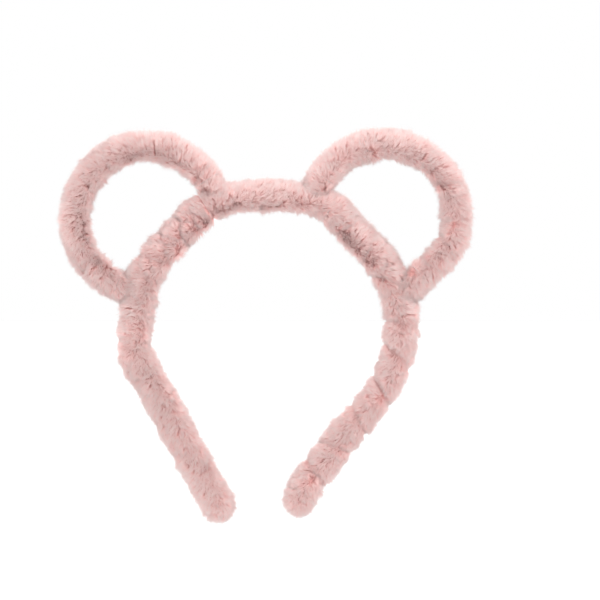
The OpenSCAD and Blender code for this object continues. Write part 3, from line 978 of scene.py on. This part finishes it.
def make_spring_half(side, end):
    """Half of the spring steel strip, from the top of the crown to one tip."""
    places = np.linspace(0, end, STRIP_PLACES)
    centre, tangent, _ = BAND.at(places[:1])
    deselect()
    bpy.ops.mesh.primitive_plane_add(size=1, location=centre[0], rotation=facing(tangent[0]))
    obj = bpy.context.object
    obj.name = f"{side}_spring_half"
    obj.scale = (STRIP_WIDTH, STRIP_THICKNESS, 1)
    extrude_along(obj, BAND, places)
    apply_modifier(obj, "BEVEL", width=STRIP_ROUNDING, segments=2, limit_method="ANGLE")
    bpy.ops.object.shade_smooth_by_angle(angle=STRIP_SMOOTH)
    finish_with(obj, once("spring_steel", lambda: steel_finish("spring_steel", 1.0)))
    deselect()
    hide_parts("spring_band")
    join_body(obj, f"{side}_leg")


# ---------------------------------------------------------------- stage

FLOOR_DROP = 0.013        # below the tips at rest, so that spread legs stay clear of it
FLOOR_SIZE, FLOOR_GLOW = 30, 0.53
SURROUNDINGS = (1.84, 2.00, 2.16)       # light from below, from the sides and from above
KEY_PLACE, KEY_AIM, KEY_SIZE = (0.50, -0.95, 0.85), Vector((0, 0, -0.05)), 0.7
CAMERA_X, CAMERA_Z, SENSOR_WIDTH = 0.0165, -0.0435, 36


def make_floor(context, tone):
    deselect()
    bpy.ops.mesh.primitive_plane_add(size=FLOOR_SIZE,
                                     location=(0, 0, CAD_BOX[0][2] - FLOOR_DROP))
    floor = context.object
    floor.name = "floor"
    floor.visible_diffuse = False
    f = Finish("pale_floor", 0.9)
    f.colour(f.ramp(f.noise(3.0), [(0.3, (tone,) * 3), (0.7, (tone * 0.99,) * 3)]))
    f.shader.inputs["Emission Color"].default_value = (1, 1, 1, 1)
    f.shader.inputs["Emission Strength"].default_value = FLOOR_GLOW
    finish_with(floor, f.material)


def make_surroundings(scene):
    """A white background, and soft light from all round that is brightest from above."""
    world = bpy.data.worlds.new("soft_studio")
    scene.world = world
    world.use_nodes = True
    tree = world.node_tree
    tree.nodes.clear()
    where = tree.nodes.new("ShaderNodeTexCoord")
    split = tree.nodes.new("ShaderNodeSeparateXYZ")
    tree.links.new(where.outputs["Generated"], split.inputs["Vector"])
    up = tree.nodes.new("ShaderNodeMapRange")
    up.inputs["From Min"].default_value = -1
    tree.links.new(split.outputs["Z"], up.inputs["Value"])
    ramp = tree.nodes.new("ShaderNodeValToRGB")
    below, beside, above = SURROUNDINGS
    ramp.color_ramp.elements[0].color = (below, below, below, 1)
    ramp.color_ramp.elements[1].color = (above, above, above, 1)
    ramp.color_ramp.elements.new(0.5).color = (beside, beside, beside, 1)
    tree.links.new(up.outputs["Result"], ramp.inputs["Fac"])
    around = tree.nodes.new("ShaderNodeBackground")
    tree.links.new(ramp.outputs["Color"], around.inputs["Color"])
    behind = tree.nodes.new("ShaderNodeBackground")
    behind.inputs["Color"].default_value = (1, 1, 1, 1)
    seen = tree.nodes.new("ShaderNodeLightPath")
    choose = tree.nodes.new("ShaderNodeMixShader")
    tree.links.new(seen.outputs["Is Camera Ray"], choose.inputs["Fac"])
    tree.links.new(around.outputs["Background"], choose.inputs[1])
    tree.links.new(behind.outputs["Background"], choose.inputs[2])
    out = tree.nodes.new("ShaderNodeOutputWorld")
    tree.links.new(choose.outputs["Shader"], out.inputs["Surface"])


def make_key_light(context, power):
    bpy.ops.object.light_add(type="AREA", location=KEY_PLACE)
    key = context.object
    key.name = "key_light"
    key.data.size = KEY_SIZE
    key.data.energy = power
    key.rotation_euler = (KEY_AIM - key.location).to_track_quat("-Z", "Y").to_euler()


def make_camera(context, stage):
    bpy.ops.object.camera_add(location=(CAMERA_X, -stage.camera_distance, CAMERA_Z),
                              rotation=(math.pi / 2, 0, 0))
    camera = context.object
    camera.data.lens = stage.focal_length
    camera.data.sensor_width = SENSOR_WIDTH
    context.scene.camera = camera
    context.scene.view_settings.view_transform = "Standard"


# ---------------------------------------------------------------- operators

class HeadbandOperator:
    bl_options = {"REGISTER", "UNDO"}

    def settings(self, context):
        scene = context.scene
        return scene.headband_plush, scene.headband_look, scene.headband_stage


class HEADBAND_OT_backings(HeadbandOperator, bpy.types.Operator):
    """Makes the knitted backing of each sewn sleeve"""
    bl_idname = "headband.backings"
    bl_label = "Sleeve backings"

    def execute(self, context):
        _, look, _ = self.settings(context)
        for sleeve in SLEEVES:
            make_backing(sleeve, look)
        return {"FINISHED"}


class HEADBAND_OT_pile(HeadbandOperator, bpy.types.Operator):
    """Grows the plush pile on each sleeve"""
    bl_idname = "headband.pile"
    bl_label = "Plush pile"

    def execute(self, context):
        plush, look, _ = self.settings(context)
        for sleeve in SLEEVES:
            make_pile(sleeve, plush, look)
        return {"FINISHED"}


class HEADBAND_OT_leg_foam(HeadbandOperator, bpy.types.Operator):
    """Makes the foam tubes inside the legs"""
    bl_idname = "headband.leg_foam"
    bl_label = "Leg foam"

    def execute(self, context):
        _, look, _ = self.settings(context)
        make_leg_foam("left", -LEFT_PIVOT, -LEFT_TIP, look)
        make_leg_foam("right", RIGHT_PIVOT, RIGHT_TIP, look)
        return {"FINISHED"}


class HEADBAND_OT_spring_band(HeadbandOperator, bpy.types.Operator):
    """Makes the spring steel strip, in two halves, one down each side"""
    bl_idname = "headband.spring_band"
    bl_label = "Spring band"

    def execute(self, context):
        make_spring_half("left", -LEFT_TIP + CAP_END)
        make_spring_half("right", RIGHT_TIP - CAP_END)
        return {"FINISHED"}


class HEADBAND_OT_inner_parts(HeadbandOperator, bpy.types.Operator):
    """Finishes the wires, tubing, caps, foam and thread"""
    bl_idname = "headband.inner_parts"
    bl_label = "Wires, caps and thread"

    def execute(self, context):
        _, look, _ = self.settings(context)
        wire = steel_finish("ear_wire_steel", 0.9)
        tubing = dark_plastic_finish("shrink_tubing", tuple(look.tubing_colour), 0.42, 500.0)
        rubber = dark_plastic_finish("cap_rubber", tuple(look.cap_colour), 0.7, 900.0)
        foam = once("foam_sleeve", lambda: foam_finish(look))
        thread = thread_and_fold_shade_finish(look)
        kinds = (("_wire", wire), ("_binding", tubing), ("_cap", rubber), ("_foam", foam),
                 ("_seam", thread), ("_gather", thread))
        for name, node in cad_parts.items():
            for ending, material in kinds:
                if name.endswith(ending):
                    finish_with(node, material)
        return {"FINISHED"}


class HEADBAND_OT_stage(HeadbandOperator, bpy.types.Operator):
    """Makes the floor, the soft light and the camera"""
    bl_idname = "headband.stage"
    bl_label = "Stage"

    def execute(self, context):
        _, _, stage = self.settings(context)
        make_floor(context, stage.floor_tone)
        make_surroundings(context.scene)
        make_key_light(context, stage.key_power)
        make_camera(context, stage)
        return {"FINISHED"}


class HEADBAND_PT_panel(bpy.types.Panel):
    """The headband's sizes, colours and pieces"""
    bl_idname = "HEADBAND_PT_panel"
    bl_label = "Headband"
    bl_space_type = "VIEW_3D"
    bl_region_type = "UI"
    bl_category = "Headband"

    def draw(self, context):
        scene = context.scene
        for group in (scene.headband_plush, scene.headband_look, scene.headband_stage):
            box = self.layout.box()
            for name in group.__annotations__:
                box.prop(group, name)
        for step in STEPS:
            self.layout.operator(step.bl_idname)


STEPS = [HEADBAND_OT_backings, HEADBAND_OT_pile, HEADBAND_OT_leg_foam,
         HEADBAND_OT_spring_band, HEADBAND_OT_inner_parts, HEADBAND_OT_stage]
GROUPS = {"headband_plush": HEADBAND_PG_plush, "headband_look": HEADBAND_PG_look,
          "headband_stage": HEADBAND_PG_stage}


def register():
    for kind in (*GROUPS.values(), *STEPS, HEADBAND_PT_panel):
        bpy.utils.register_class(kind)
    for name, group in GROUPS.items():
        setattr(bpy.types.Scene, name, bpy.props.PointerProperty(type=group))


def unregister():
    for name in GROUPS:
        delattr(bpy.types.Scene, name)
    for kind in reversed((*GROUPS.values(), *STEPS, HEADBAND_PT_panel)):
        bpy.utils.unregister_class(kind)


def main():
    register()
    for step in STEPS:
        group, name = step.bl_idname.split(".")
        getattr(getattr(bpy.ops, group), name)()


if __name__ == "__main__":
    main()
